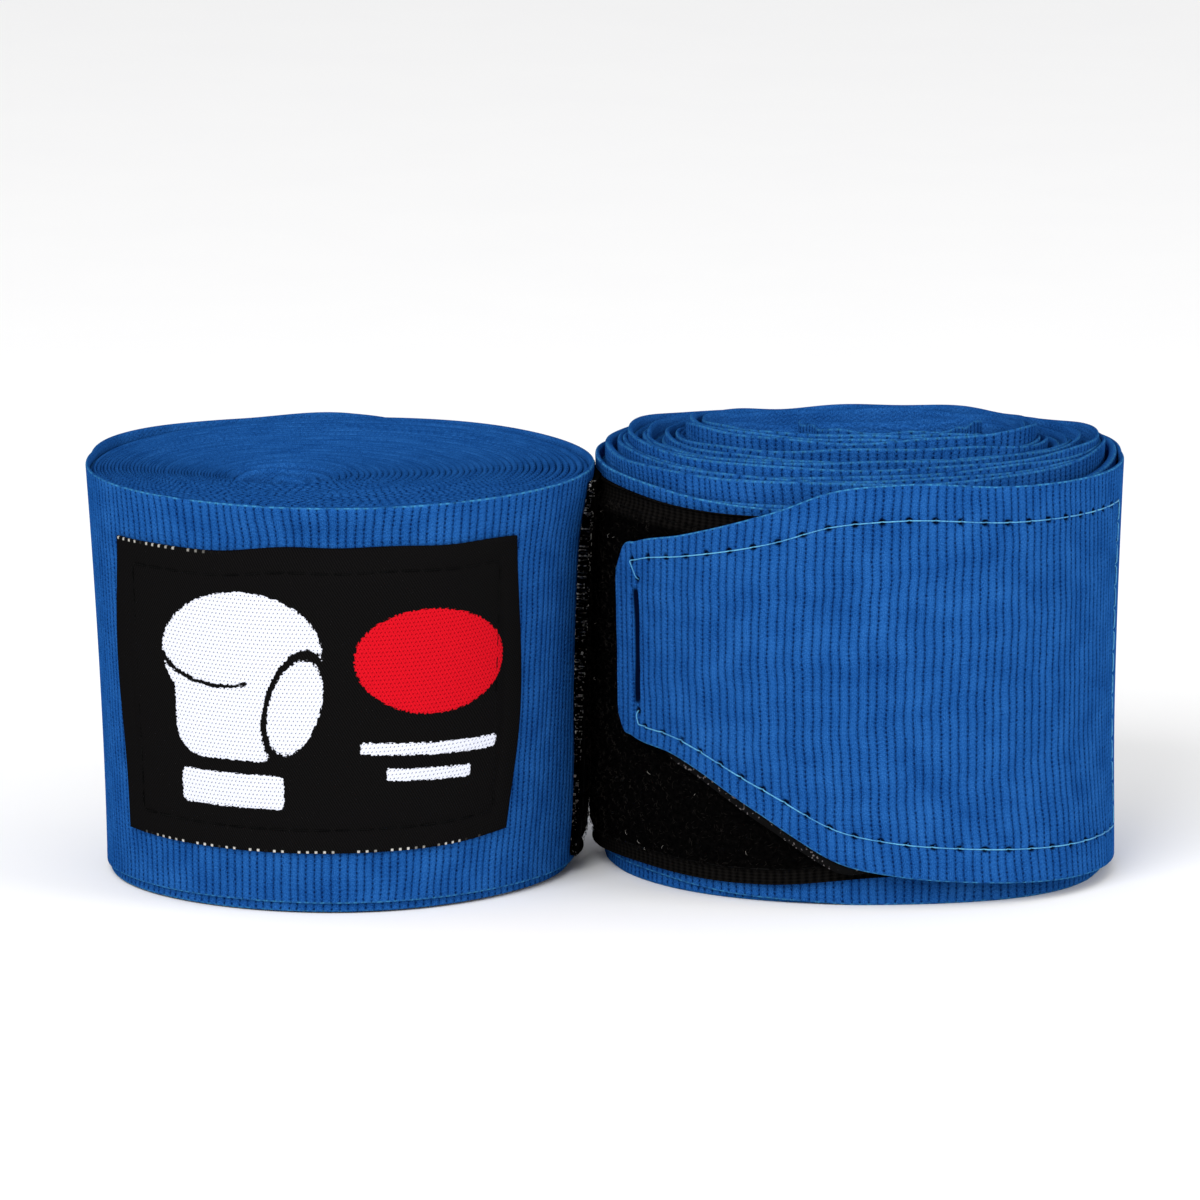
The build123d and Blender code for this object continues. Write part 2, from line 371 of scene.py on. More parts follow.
def section(margins, middle, inner_margins, inner_middle=0):
    """Points round a band's cross section: rows of (share of its width, offset in mm, depth through it).

    The margins are the rows near both edges, in mm from the edge, and middle is how many rows lie between.
    """
    def face(margins, middle, depth):
        shares = np.linspace(0, 1, middle + 2)[1:-1]
        rows = [(0, m, depth) for m in margins] + [(s, margins[-1] * (1 - 2 * s), depth) for s in shares]
        return rows + [(1, -m, depth) for m in reversed(margins)]

    rounding = 0.06
    top = [(1, -rounding, 0.12), (1, 0, 0.5), (1, -rounding, 0.88)]
    bottom = [(0, rounding, 0.88), (0, 0, 0.5), (0, rounding, 0.12)]
    inner = face(inner_margins, inner_middle, 1)[::-1]
    return np.array(face(margins, middle, 0) + top + inner + bottom, float)


def declare(roll, piece, body, slot, node=None, look=None):
    """Says what a piece rides on, its material slot, and which CAD node it stands for."""
    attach(piece, f"{roll.side}_{body}")
    dress(piece, slot, look)
    if node:
        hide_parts(f"{roll.side}_{node}")


def dress(piece, slot, look=None):
    """Gives a piece its slot, and the slot's usual material unless another look is named."""
    piece.data.materials.append(LOOKS[look or slot])


def outward_at(roll, winding, height, lift):
    step = roll.place(winding, height, np.asarray(lift) + 0.1) - roll.place(winding, height, lift)
    return step / np.linalg.norm(step, axis=-1, keepdims=True)


# ---- the strip

# (share of the rib's width, depth of the groove)
RIB_SHAPE = ((0.0, 1.0), (0.1, 0.58), (0.25, 0.22), (0.5, 0.0), (0.75, 0.22), (0.9, 0.58))
PLAIN_RIB_SHAPE = ((0.0, 1.0), (0.16, 0.35), (0.5, 0.0), (0.84, 0.35))
INNER_MARGINS = (0.3, 1.2, 2.2, 3.2, 4.4, 6.0)
SEAM_MARGINS = (0.25, 0.7, 1.4, 2.2, 2.8, 3.2, 3.6, 4.0, 4.4, 4.8, 5.4)
CORE_SECTION = section((0.35, 3.0), 0, (0.6, 5.0))
OUTER_SECTION = section((0.3, 0.9, 1.8, 3.0, 4.6), 17, INNER_MARGINS, 12)
TAB_SECTION = section(SEAM_MARGINS, 44, INNER_MARGINS, 16)


def cloth_columns(roll, start, stop, shape, seed):
    """Winding angle, rib number and groove depth of each column of the cloth."""
    winding, length = roll.run(start, stop)
    ribs = round(length[-1] / RIB)
    uneven = np.random.default_rng(seed).normal(0, 0.045, ribs + 1)
    uneven[[0, -1]] = 0
    rib = np.concatenate([np.arange(ribs) + share for share, _ in shape] + [[ribs]])
    groove = np.concatenate([np.full(ribs, depth) for _, depth in shape] + [[1.0]])
    order = np.argsort(rib)
    rib, groove = rib[order], groove[order]
    shifted = rib + np.interp(rib, np.arange(ribs + 1), uneven)
    return np.interp(shifted / ribs * length[-1], length, winding), rib, groove, length[-1]


def lean(winding, height):
    """How far the ribs wander sideways with height, in mm."""
    turn = winding / 360
    slow = 0.42 * np.sin(height / 10 + 2.5 * np.sin(7 * turn)) + 0.03 * (height - 25) * np.sin(9 * turn + 1.0)
    return slow + 0.06 * np.sin(height / 1.9 + 31 * turn) + 0.04 * np.sin(height / 0.83 + 57 * turn)


def pit_shares(roll, winding, height, high, reach, outer_face, holes, slit):
    """How far each point is pressed in, 0 to 1: the creased folds at the core, holes and slit; the cloth
    material paints shade into them by this share.
    """
    # The core folds are pressed in and, through this share, painted darker as shade.
    folds = ramp(winding / 360, 0.4, -0.4) * (0.5 + 0.2 * np.sin(np.radians(roll.bearing(winding))))
    pit = folds[:, None] * ramp(high - height, 0, 1)
    for hole_winding, hole_height in holes:
        near = np.abs(winding - hole_winding) < 3
        across = (winding[near, None] - hole_winding) * math.radians(1) * reach[near]
        away = np.hypot(across, height[near] - hole_height)
        pit[near] = np.maximum(pit[near], np.clip(1.5 - away / HOLE_RADIUS, 0, 1) * outer_face)
    if slit:
        slit_winding, low, top = slit
        across = (winding[:, None] - slit_winding) * math.radians(1) * reach + 0.25 * np.sin(height / 4)
        inside = ramp(height, low, low + 1.5) * ramp(height, top, top - 1.5)
        pit = np.maximum(pit, np.clip(1.5 - np.abs(across) / SLIT_HALF, 0, 1) * inside * outer_face)
    return pit


def strip_piece(name, roll, start, stop, shape, rows, first_rib=0, holes=(), slit=None):
    """A stretch of the strip, ribbed on both faces, with rounded edges."""
    winding, rib, groove, length = cloth_columns(roll, start, stop, shape, seed=first_rib + roll.turns)
    low, high = (edge[:, None] for edge in roll.edges(winding))
    share, offset, depth = rows.T
    height = low + (high - low) * share + offset
    ends = ramp(winding, start, start + 12) * ramp(winding, stop + 0.01, stop - 12)
    reach = np.maximum(roll.radius(winding), 4)[:, None]
    sideways = lean(winding[:, None], height) * ends[:, None] / reach / math.radians(1)
    spread = winding[:, None] + sideways
    uneven = 1 + 0.25 * np.sin(height / 2.3 + 4.1 * rib[:, None])
    uneven = uneven + 0.2 * np.sin(height / 0.9 + 2.3 * rib[:, None])
    from_edge = np.minimum(height - low, high - height)
    cut = GROOVE * groove[:, None] * uneven * (0.12 + 0.88 * ramp(from_edge, 0.1, 1.4))
    most = CLOTH + (TAB_CLOTH - CLOTH) * ramp(winding, roll.end - 300, roll.end - 200)
    thick = np.clip(roll.room(winding), THINNEST, most)
    if stop > roll.end:
        thick = thick * np.clip(np.sqrt(np.clip((stop - winding) / 1.1, 0, 1)), 0.12, 1)
    lift = -cut * (depth < 0.5) + 0.6 * cut * (depth > 0.5) - thick[:, None] * depth * roll.widening(height)
    pit = pit_shares(roll, winding, height, high, reach, depth < 0.1, holes, slit)
    rings = roll.place(spread, height, lift - PIT_DEPTH * pit)
    piece = ring_piece(name, rings)
    side = np.broadcast_to(depth, height.shape)
    whole_rib = np.broadcast_to((rib + first_rib)[:, None], height.shape)
    set_numbers(piece, "weave", np.stack([whole_rib, height, side], -1))
    set_numbers(piece, "pit", pit.ravel())
    # The pale selvedge thread is the cloth's own; fading it on the inner turns, against the last turn, is
    # painted shade between the turns.
    pale = roll.all_rims + (1 - roll.all_rims) * ramp(roll.share(winding), 0.965, 0.975)
    rim = pale[:, None] * (np.abs(depth - 0.12) < 0.03)
    set_numbers(piece, "rim", rim.ravel())
    dress(piece, "woven_cloth")
    return piece, length


def tab_seam(roll):
    """The tab's three lines of stitching as (winding, height) points, open along the slit at its tip."""
    def edge(which, after, inset):
        return list(zip(roll.end + after, roll.tab_edges(after)[which] + inset))

    def inset(after):
        return TAB_SEAM_INSET - TAB_SEAM_NARROWS * ramp(after, 90, TIP_SEAM)

    first = HOOK_SPAN[0] + 2.85
    along_top = np.linspace(first, TIP_SEAM + 1.5, 60)
    along_bottom = np.linspace(TIP_SEAM, first, 60)
    top = edge(1, along_top, -inset(along_top))
    bottom = edge(0, along_bottom, inset(along_bottom) - 0.3)
    tip = [(roll.end + TIP_SEAM - 0.8, top[-1][1] - 2.2)]
    foot = [(roll.end + TIP_SEAM - 0.2, bottom[0][1] + 1.6)]
    return [bottom[::-1] + foot, top + tip, [bottom[-1], top[0]]]


def stitched(roll, line, base_lift, rise=0.1, sink=0.3):
    """Stitches along (winding, height) points: their paths and outward directions, and the needle holes."""
    line = np.array(line, float)
    reach = roll.radius(line[:, 0])
    around = np.diff(line[:, 0]) * math.radians(1) * (reach[1:] + reach[:-1]) / 2
    steps = np.hypot(around, np.diff(line[:, 1]))
    length = np.concatenate([[0], np.cumsum(steps)])
    count = max(1, round(length[-1] / STITCH))
    holes = np.linspace(0, length[-1], count + 1)
    share = np.array([0, 0.05, 0.13, 0.3, 0.7, 0.87, 0.95, 1])
    lift = np.array([-sink, -0.5 * sink, 0.3 * rise, rise, rise, 0.3 * rise, -0.5 * sink, -sink])
    at = holes[:-1, None] + np.diff(holes)[:, None] * share
    winding, height = (np.interp(at, length, column) for column in line.T)
    lift = base_lift + np.broadcast_to(lift, at.shape)
    spots = list(zip(*(np.interp(holes, length, column) for column in line.T)))
    return roll.place(winding, height, lift), outward_at(roll, winding, height, lift), spots


def make_strip(roll):
    """The wound strip in three stretches, and its end with the closing tab."""
    first, core_end, coil_end = -360 * roll.core_turns, 360 * (roll.turns // 2), 360 * (roll.turns - 2) + 40
    tab_start = 360 * roll.turns + 200
    tip = roll.end + TAB_SPAN
    holes = [hole for line in tab_seam(roll) for hole in stitched(roll, line, 0)[2]]
    slit = (roll.end + TIP_SEAM, *(height - roll.tab_drop for height in SLIT_HEIGHTS))
    stretches = (
        ("core", first, core_end, PLAIN_RIB_SHAPE, CORE_SECTION, {}),
        ("coil", core_end, coil_end, PLAIN_RIB_SHAPE, CORE_SECTION, {}),
        ("outer_turns", coil_end, tab_start, RIB_SHAPE, OUTER_SECTION, {}),
        ("end_and_tab", tab_start, tip, RIB_SHAPE, TAB_SECTION, {"holes": holes, "slit": slit}),
    )
    pieces, rib = {}, 0
    for name, start, stop, shape, rows, extra in stretches:
        full_name = f"{roll.side}_strip_{name}"
        piece, length = strip_piece(full_name, roll, start, stop, shape, rows, first_rib=rib, **extra)
        rib += round(length / RIB)
        pieces[name] = (piece, length)
        if name == "end_and_tab":
            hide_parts(f"{roll.side}_closure_tab")
            bend_at_root(roll, piece)
        else:
            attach(piece, f"{roll.side}_wrap")
            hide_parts(f"{roll.side}_strip")
    return pieces


def bend_at_root(roll, piece):
    ahead = roll.spin(np.array([0.0, -1.0])) * BEND_REACH
    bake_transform(piece)


def declare_strip(pieces):
    for name, (piece, length) in pieces.items():
        if name == "end_and_tab":
            area = (STRIP_WIDTH * length - TAPER_CUT) * MM * MM


# ---- patches

def patch_piece(name, roll, span, edges, lifts, columns, margins, middle, relief, numbers=None, sway=None):
    """A closed slab that follows the roll: edges(after) gives its heights, relief(mm along, mm up, tall) its
    surface, numbers the same its artwork, and sway(share, height) moves its columns aside, in degrees."""
    after = np.linspace(*span, columns)
    winding = roll.end + after
    low, high = (edge[:, None] for edge in edges(after))
    rows = section(margins, middle, (0.4, 1.6, 3.0, 4.4, 6.0), 12)
    share, offset, depth = rows.T
    height = low + (high - low) * share + offset
    tall = high - low
    along = (after - span[0])[:, None] * math.radians(1) * roll.radius(roll.end) + 0 * height
    bottom, top = lifts
    ends = np.minimum(along, along[-1] - along)
    round_off = 0.35 * (top - bottom) * np.clip(1 - ends / 0.35, 0, 1) ** 2
    lift = top - (top - bottom) * depth
    lift = lift + np.where(depth < 0.5, -round_off, round_off)
    up = height - low
    lift = lift + relief(along, up, tall) * (depth < 0.1)
    winding = np.broadcast_to(winding[:, None], height.shape)
    if sway:
        winding = winding + sway((after - span[0])[:, None] / (span[1] - span[0]), height)
    piece = ring_piece(name, roll.place(winding, height, lift))
    set_numbers(piece, "weave", np.stack([along, up, np.broadcast_to(depth, up.shape)], -1))
    if numbers:
        set_numbers(piece, "art", numbers(along, up, tall))
    return piece


# The label sits a little wavy on the soft roll: (share of its length from its first edge, height).
LABEL_LOW = ((0, 9.0), (0.12, 8.3), (0.4, 7.8), (0.8, 7.8), (1, 8.1))
LABEL_HIGH = ((0, 46.0), (0.3, 46.1), (0.55, 46.0), (0.8, 45.1), (0.93, 45.2), (1, 45.1))


def label_edges(after):
    share = (after - LABEL_SPAN[0]) / (LABEL_SPAN[1] - LABEL_SPAN[0])
    return smooth_line(LABEL_LOW, share), smooth_line(LABEL_HIGH, share) + 0.1 * np.sin(25 * share)


def label_sway(share, height):
    """Both ends bow outwards at mid-height, and the near one draws in at its corners."""
    far = ramp(share, 0.7, 1.0) * (3.2 * bell(height, 27, 13) + 0.4 * np.sin(height / 4.5))
    near = ramp(share, 0.3, 0.0) * (1.5 - 4.9 * bell(height, 27, 13) + 0.3 * np.sin(height / 3.7))
    return far + near


def ellipse(x, y, centre, radii, turn=0.0):
    """Signed distance in mm, near enough: negative inside."""
    c, s = math.cos(math.radians(turn)), math.sin(math.radians(turn))
    dx, dy = x - centre[0], y - centre[1]
    u, v = (dx * c + dy * s) / radii[0], (dy * c - dx * s) / radii[1]
    return (np.hypot(u, v) - 1) * min(radii)


def box(x, y, centre, half, corner):
    dx, dy = np.abs(x - centre[0]) - half[0] + corner, np.abs(y - centre[1]) - half[1] + corner
    return np.hypot(np.maximum(dx, 0), np.maximum(dy, 0)) + np.minimum(np.maximum(dx, dy), 0) - corner


def glove(x, y):
    """A plain boxing glove seen from its side, in white."""
    fist = ellipse(x, y, (18.6, 24.6), (10.2, 8.0), 6)
    palm = box(x, y, (17.2, 18.0), (7.2, 6.6), 3.5)
    thumb = ellipse(x, y, (25.4, 18.4), (3.1, 6.2), -16)
    body = np.maximum(np.minimum(fist, palm), 0.7 - thumb)
    fold = np.abs(ellipse(x, y, (16.5, 26.0), (8.6, 5.4), 6)) - 0.25
    body = np.maximum(body, -np.maximum(fold, np.maximum(y - 24.0, x - 19.5)))
    cuff = box(x, y, (17.2, 7.6), (6.8, 2.1), 0.8)
    return np.minimum(np.minimum(body, thumb), cuff)


def badge(x, y):
    """A plain red oval beside the glove."""
    return ellipse(x, y, (42.0, 24.6), (9.4, 6.6))


def rules(x, y):
    """Two plain white lines under the oval."""
    return np.minimum(box(x, y, (42.0, 13.6), (8.6, 0.75), 0.3), box(x, y, (42.0, 10.4), (5.4, 0.75), 0.3))


def label_place(along, up):
    """Artwork coordinates: it reads from the label's far end, and droops a little towards its near end."""
    x = along.max() - along
    return x, up + 0.07 * np.maximum(x - 28, 0)


def label_numbers(along, up, tall):
    """Distances to the white and the red shapes, and from the label's upper edge."""
    x, y = label_place(along, up)
    return np.stack([np.minimum(glove(x, y), rules(x, y)), badge(x, y), tall - up], -1)


def label_relief(along, up, tall):
    """The coloured wefts stand a little proud, and the sewn edge is pressed down."""
    x, y = label_place(along, up)
    art = np.minimum(np.minimum(glove(x, y), rules(x, y)), badge(x, y))
    far = np.minimum(np.minimum(up, tall - up), np.minimum(x, along))
    seam = np.exp(-(((far - SEAM_INSET) / 0.5) ** 2))
    lumps = 0.05 * np.sin(along / 3.1 + 1.0) * np.sin(up / 4.3)
    lumps = lumps + 0.06 * np.sin(along / 1.4) * ramp(far, 3.0, 0.5)
    return 0.06 * ramp(art, 0.15, -0.15) - 0.12 * seam + lumps


def rectangle_seam(roll, span, edges, inset):
    """A closed rectangle of (winding, height) points inside a patch's edges."""
    turn_in = inset / roll.radius(roll.end) / math.radians(1)
    after = np.linspace(span[0] + turn_in, span[1] - turn_in, 40)
    low, high = edges(after)
    lower = list(zip(roll.end + after, low + inset))
    upper = list(zip(roll.end + after, high - inset))
    return lower, [lower[-1], upper[-1]], upper[::-1], [upper[0], lower[0]]


def stitch_piece(name, roll, lines, base_lift, slot, node, body="wrap", radius=THREAD_RADIUS, rise=0.1,
                 sink=0.3):
    made = [stitched(roll, line, base_lift, rise, sink)[:2] for line in lines]
    paths = np.concatenate([paths for paths, _ in made])
    outward = np.concatenate([outward for _, outward in made])
    piece = threads_piece(f"{roll.side}_{name}", paths, outward, radius * MM)
    declare(roll, piece, body, slot, node)


def make_label(roll):
    side = roll.side
    top = SEWN_GAP + 0.55
    piece = patch_piece(
        f"{side}_woven_label", roll, LABEL_SPAN, label_edges, (SEWN_GAP, top), columns=176, middle=92,
        margins=(0.12, 0.5, 1.2, 2.4, 3.0, 3.6), relief=label_relief, numbers=label_numbers, sway=label_sway,
    )
    declare(roll, piece, "wrap", "label_weave", "label")
    lines = rectangle_seam(roll, LABEL_SPAN, label_edges, SEAM_INSET)
    stitch_piece("label_seam", roll, lines, top - 0.12, "black_thread", "label_stitching")


def loop_edges(after):
    middle = (LOOP_SPAN[0] + LOOP_SPAN[1]) / 2
    low = (STRIP_WIDTH - LOOP_HEIGHT) / 2 + 0.5 + 0.2 * np.sin(after / 9)
    high = low + LOOP_HEIGHT + 0.3 + 1.2 * ramp(after, middle, LOOP_SPAN[1])
    return low + 1.2 * ramp(after, LOOP_SPAN[0] + 32, LOOP_SPAN[0]), high


def pile_relief(x, y, tall):
    """Brushed loops inside a pressed, woven selvedge."""
    far = np.minimum(np.minimum(y, tall - y), np.minimum(x, x[-1] - x))
    pile = ramp(far, 1.2, 2.6)
    clumps = 0.07 * np.sin(1.9 * x + 1.3 * np.sin(1.1 * y)) * np.sin(1.7 * y + np.sin(0.9 * x))
    fine = 0.05 * np.sin(5.3 * x + 2 * np.sin(2.3 * y)) * np.sin(4.7 * y)
    woven = 0.05 * np.sin(2 * np.pi * x / 0.9)
    return -0.5 * (1 - pile) + (clumps + fine) * pile + woven * (1 - pile)


def make_loop_panel(roll):
    side = roll.side
    top = SEWN_GAP + 1.05
    piece = patch_piece(
        f"{side}_loop_panel", roll, LOOP_SPAN, loop_edges, (SEWN_GAP, top), columns=190, middle=64,
        margins=(0.12, 0.6, 1.2, 1.9, 2.6, 3.2), relief=pile_relief,
        numbers=lambda along, up, tall: np.stack([along.max() - along, 0 * up, 0 * up], -1),
    )
    declare(roll, piece, "wrap", "loop_tape", "loop_fastener")
    pile = make_pile(roll, top)
    lines = rectangle_seam(roll, LOOP_SPAN, loop_edges, 2.0)
    stitch_piece("loop_panel_seam", roll, lines, top - 0.3, "black_thread", "loop_fastener_stitching")


def make_pile(roll, top):
    """Short curled fibres of the brushed loops, with a little pale lint among them."""
    count, inset = 6500, 1.8
    random = np.random.default_rng(roll.turns)
    after = random.uniform(LOOP_SPAN[0] + 4, LOOP_SPAN[1] - 4, count)
    low, high = loop_edges(after)
    height = low + inset + random.uniform(0, 1, count) * (high - low - 2 * inset)
    heading = random.uniform(0, 2 * np.pi, count)
    reach = random.uniform(0.25, 0.75, count)
    shape = np.array([(0, -0.1), (0.25, 0.14), (0.7, 0.2), (1.0, 0.02)])
    forward = reach[:, None] * shape[:, 0]
    winding = roll.end + after[:, None] + forward * np.cos(heading)[:, None] / OUTSIDE / math.radians(1)
    up = height[:, None] + forward * np.sin(heading)[:, None]
    lift = top + shape[:, 1] * random.uniform(0.6, 1.15, count)[:, None]
    paths = roll.place(winding, up, lift)
    piece = threads_piece(
        f"{roll.side}_loop_pile", paths, outward_at(roll, winding, up, lift), 0.03 * MM, sides=3,
        taper=(1, 1, 0.9, 0.5),
    )
    lint = (random.uniform(0, 1, count) < 0.003) * 1.0
    set_numbers(piece, "lint", np.repeat(lint, 4 * 3))
    declare(roll, piece, "wrap", "loop_tape", look="loop_pile")
    return piece


def hook_edges(roll, after):
    """The hook panel's heights. It peeps out a little under the tab's slanting edge."""
    low, high = roll.tab_edges(after)
    peep = ramp(after, 74, 96) * ramp(after, 142, 130)
    return low + HOOK_INSET - (HOOK_INSET + HOOK_PEEP) * peep, high - HOOK_INSET


def make_hook_panel(roll):
    side = roll.side
    outer = -TAB_CLOTH - SEWN_GAP
    inner = outer - 0.5
    piece = patch_piece(
        f"{side}_hook_panel", roll, HOOK_SPAN, lambda after: hook_edges(roll, after), (inner, outer),
        columns=150, middle=40, margins=(0.12, 0.6, 1.5),
        relief=lambda x, y, tall: 0.02 * np.sin(2 * np.pi * y / 1.3),
    )
    declare(roll, piece, "tab", "hook_tape", "hook_fastener")
    hooks = make_hooks(roll, inner)
    low, high = hook_edges(roll, np.linspace(*HOOK_SPAN, 60))
    long = math.radians(HOOK_SPAN[1] - HOOK_SPAN[0]) * (roll.radius(roll.end) + TAB_FULL_LIFT)
    area = float(np.mean(high - low) * long) * MM * MM


def make_hooks(roll, base):
    """Rows of small moulded hooks on the panel's inner face."""
    spacing, height = 1.35, 0.36
    spots = []
    step = spacing / (roll.radius(roll.end) * math.radians(1))
    for i, after in enumerate(np.arange(HOOK_SPAN[0] + 2 * step, HOOK_SPAN[1] - 2 * step, step)):
        low, high = hook_edges(roll, np.array([after]))
        for z in np.arange(low[0] + 1.2 + 0.5 * spacing * (i % 2), high[0] - 1.0, spacing):
            spots.append((after, z, 1 if i % 2 else -1))
    after, z, way = np.array(spots).T
    shape = np.array([(0, 0), (0.02, 0.6), (0.12, 0.95), (0.26, 1.0), (0.34, 0.75)])
    winding = roll.end + after[:, None] + way[:, None] * shape[:, 0] / OUTSIDE / math.radians(1)
    up = z[:, None] + 0 * winding
    lift = base - height * shape[:, 1] + 0 * winding
    along_z = np.zeros(winding.shape + (3,))
    along_z[..., 2] = 1
    piece = threads_piece(
        f"{roll.side}_hooks", roll.place(winding, up, lift), along_z, 0.1 * MM, sides=5,
        taper=(1.5, 1, 0.9, 0.8, 0.5),
    )
    declare(roll, piece, "tab", "hook_tape")
    return piece


def make_tab_seam(roll):
    stitch_piece(
        "tab_seam", roll, tab_seam(roll), 0.0, "blue_thread", "tab_stitching", "tab", radius=0.08, rise=0.03,
    )


# ---- thumb loop

def thumb_loop_rings(roll, centre, half_length):
    """The loop of narrow band, folded flat: its cross sections, one after the other round the loop."""
    half_gap, band = 0.12, 0.4
    angles = np.linspace(0, 2 * np.pi, 97)[:-1]
    squeeze = np.sign(np.sin(angles)) * np.abs(np.sin(angles)) ** 0.6
    low = (STRIP_WIDTH - THUMB_BAND) / 2 + 2.0
    heights = np.array([0, 0.15, 1.5, 6, 11, 16, 20.5, 21.85, 22.0])
    edge = np.array([0.5, 0.1, 0, 0, 0, 0, 0, 0.1, 0.5])

    def face(inward):
        reach = half_length - inward
        gap = half_gap + band - inward
        return np.stack([reach * np.cos(angles), gap * squeeze + 0.25 * np.sin(2.2 * np.cos(angles))], -1)

    outer = list(zip(edge, heights))
    inner = list(zip(1 - edge, heights))[-2:0:-1]
    columns = []
    for inward, z in outer + inner:
        turned = roll.spin(face(band * inward)) + centre
        columns.append(np.column_stack([turned, np.full(len(angles), low + z)]))
    return np.array(columns).transpose(1, 0, 2) * MM


def make_thumb_loop(roll):
    """The thumb loop, folded flat in the middle of the core, and the rows that sew it to the strip."""
    side = roll.side
    start = np.array(0.0)
    centre = roll.place(start, np.array(STRIP_WIDTH / 2), -roll.radius(start))[:2] / MM
    half_length = 2.6 + roll.core_flat / 4
    piece = ring_piece(f"{side}_thumb_loop_band", thumb_loop_rings(roll, centre, half_length), closed=True)
    place = np.empty(len(piece.data.vertices) * 3)
    piece.data.vertices.foreach_get("co", place)
    place = place.reshape(-1, 3) / MM
    along = (place[:, 0] - centre[0]) / RIB * 2
    set_numbers(piece, "weave", np.stack([along, place[:, 2], 0 * along], -1))
    for name in ("pit", "rim"):
        set_numbers(piece, name, 0 * along)
    declare(roll, piece, "wrap", "thumb_band", "thumb_loop")
    first = -360 * roll.core_turns
    rows = [[(first + a, 15.0), (first + a, 35.0)] for a in (30, 75)]
    stitch_piece(
        "thumb_loop_seam", roll, rows, 0.0, "blue_thread", "thumb_loop_stitching", radius=0.1, rise=0.05,
        sink=0.2,
    )


# ---- materials

class Signal:
    """A socket of a material's nodes that can be used in arithmetic."""

    def __init__(self, shader, socket):
        self.shader, self.socket = shader, socket

    def math(self, operation, *others):
        node = self.shader.tree.nodes.new("ShaderNodeMath")
        node.operation = operation
        for i, value in enumerate((self, *others)):
            self.shader.plug(node.inputs[i], value)
        return Signal(self.shader, node.outputs[0])

    def __add__(self, other):
        return self.math("ADD", other)

    def __sub__(self, other):
        return self.math("SUBTRACT", other)

    def __mul__(self, other):
        return self.math("MULTIPLY", other)

    __radd__, __rmul__ = __add__, __mul__

    def __rsub__(self, other):
        return (self * -1.0) + other

    def fraction(self):
        return self.math("FRACT")

    def floor(self):
        return self.math("FLOOR")

    def size(self):
        return self.math("ABSOLUTE")

    def most(self, other):
        return self.math("MAXIMUM", other)

    def wave(self):
        """Sine of whole turns, from -1 to 1."""
        return (self * (2 * math.pi)).math("SINE")

    def steps(self, low, high):
        """Smooth step from 0 at low to 1 at high, which may be the smaller."""
        node = self.shader.tree.nodes.new("ShaderNodeMapRange")
        node.interpolation_type = "SMOOTHSTEP"
        node.inputs["From Min"].default_value = low
        node.inputs["From Max"].default_value = high
        self.shader.plug(node.inputs["Value"], self)
        return Signal(self.shader, node.outputs["Result"])


class Shader:
    """One material, built from arithmetic on its vertex numbers."""

    def __init__(self, name, **settings):
        self.material = bpy.data.materials.new(name)
        self.material.use_nodes = True
        self.tree = self.material.node_tree
        self.surface = self.tree.nodes["Principled BSDF"]
        self.set(**settings)

    def plug(self, socket, value):
        if isinstance(value, Signal):
            self.tree.links.new(value.socket, socket)
        else:
            socket.default_value = value

    def numbers(self, name):
        """The three numbers of a vector stored on the vertices."""
        node = self.tree.nodes.new("ShaderNodeAttribute")
        node.attribute_name = name
        split = self.tree.nodes.new("ShaderNodeSeparateXYZ")
        self.tree.links.new(node.outputs["Vector"], split.inputs[0])
        return [Signal(self, output) for output in split.outputs]

    def number(self, name):
        node = self.tree.nodes.new("ShaderNodeAttribute")
        node.attribute_name = name
        return Signal(self, node.outputs["Fac"])

    def place(self):
        """Where a point lies on its piece, in metres."""
        return Signal(self, self.tree.nodes.new("ShaderNodeTexCoord").outputs["Object"])

    def vector(self, x, y, z=0.0):
        node = self.tree.nodes.new("ShaderNodeCombineXYZ")
        for socket, value in zip(node.inputs, (x, y, z)):
            self.plug(socket, value)
        return Signal(self, node.outputs[0])

    def noise(self, place, scale, detail=2.0, rough=0.5):
        """Smooth noise about 0.5."""
        node = self.tree.nodes.new("ShaderNodeTexNoise")
        self.plug(node.inputs["Vector"], place)
        node.inputs["Scale"].default_value = scale
        node.inputs["Detail"].default_value = detail
        node.inputs["Roughness"].default_value = rough
        return Signal(self, node.outputs["Fac"])

    def chance(self, place):
        """A random number from 0 to 1 for each whole value."""
        node = self.tree.nodes.new("ShaderNodeTexWhiteNoise")
        self.plug(node.inputs["Vector"], place)
        return Signal(self, node.outputs["Value"])

    def mix(self, share, first, second):
        node = self.tree.nodes.new("ShaderNodeMix")
        node.data_type = "RGBA"
        self.plug(node.inputs["Factor"], share)
        for name, value in (("A", first), ("B", second)):
            socket = next(s for s in node.inputs if s.name == name and s.type == "RGBA")
            self.plug(socket, value if isinstance(value, Signal) else (*value, 1.0))
        return Signal(self, next(s for s in node.outputs if s.type == "RGBA"))

    def set(self, **values):
        for socket, value in values.items():
            self.plug(self.surface.inputs[socket.replace("_", " ")], value)

    def bump(self, height):
        """Small relief, in millimetres."""
        node = self.tree.nodes.new("ShaderNodeBump")
        node.inputs["Distance"].default_value = MM
        node.inputs["Strength"].default_value = 1.0
        self.plug(node.inputs["Height"], height)
        self.tree.links.new(node.outputs["Normal"], self.surface.inputs["Normal"])


# "weave" holds the rib number (on a patch, the mm along it), the mm up, and the depth: 0 outside, 1 inside.
DEEP_BLUE = (0.0030, 0.0340, 0.1550)
MID_BLUE = (0.0105, 0.0790, 0.2850)
PALE_BLUE = (0.0240, 0.1300, 0.4000)
# Painted shade in the grooves between the ribs
GROOVE_SHADE_BLUE = (0.0010, 0.0060, 0.0450)
SELVEDGE = (0.0600, 0.3000, 0.5600)
# Painted shade for the needle holes, the slit and the creased folds of the core
PIT_SHADE_BLUE = (0.0008, 0.0030, 0.0140)


